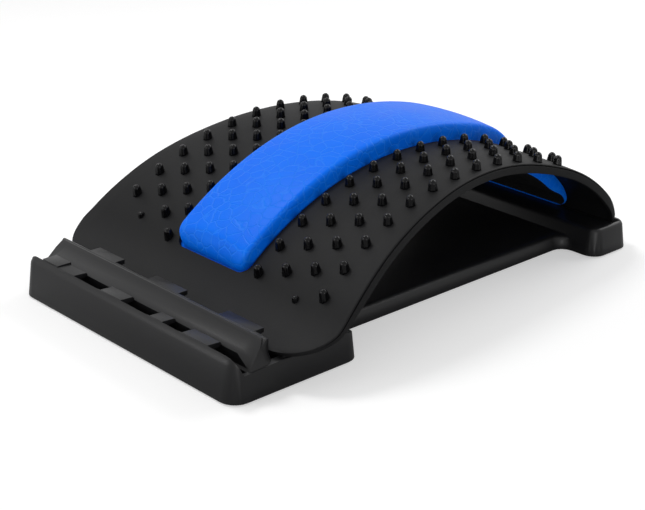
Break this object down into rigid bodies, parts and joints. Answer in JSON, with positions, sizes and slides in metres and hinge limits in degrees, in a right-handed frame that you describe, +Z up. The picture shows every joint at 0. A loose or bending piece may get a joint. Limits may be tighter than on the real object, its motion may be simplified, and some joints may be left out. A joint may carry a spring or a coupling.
{
  "type": "arched back stretcher",
  "caption": "Arched back stretcher: studded spring arch with a blue centre pad, hooked into a low moulded base with height grooves.",
  "frame": {"origin": "on the floor, in the middle of the part's footprint", "axes": "+X across the body, +Y from the adjusting head to the rear foot, +Z up"},
  "size_m": [0.2744, 0.406, 0.1152],
  "materials": {
    "base_plastic": "black injection-moulded plastic, satin with a fine grain",
    "arch_plastic": "black flexible plastic, fine matt grain, glossier nodules",
    "pad_cover": "royal blue soft skin with fine creases",
    "pad_foam": "open foam core",
    "foot_rubber": "dull black rubber"
  },
  "bodies": {
    "base": {"base": "base_plastic", "foot_pad_front_left": "foot_rubber", "foot_pad_front_right": "foot_rubber", "foot_pad_rear_left": "foot_rubber", "foot_pad_rear_right": "foot_rubber"},
    "arch": {"arch_plate": "arch_plastic", "pad_cover": "pad_cover", "pad_foam": "pad_foam"}
  },
  "joints": [
    {"name": "arch_swing", "type": "hinge", "parent": "base", "child": "arch", "pos_m": [0, 0.191, 0.01564], "axis": [-1, 0, 0], "range_deg": [0, 30]}
  ]
}
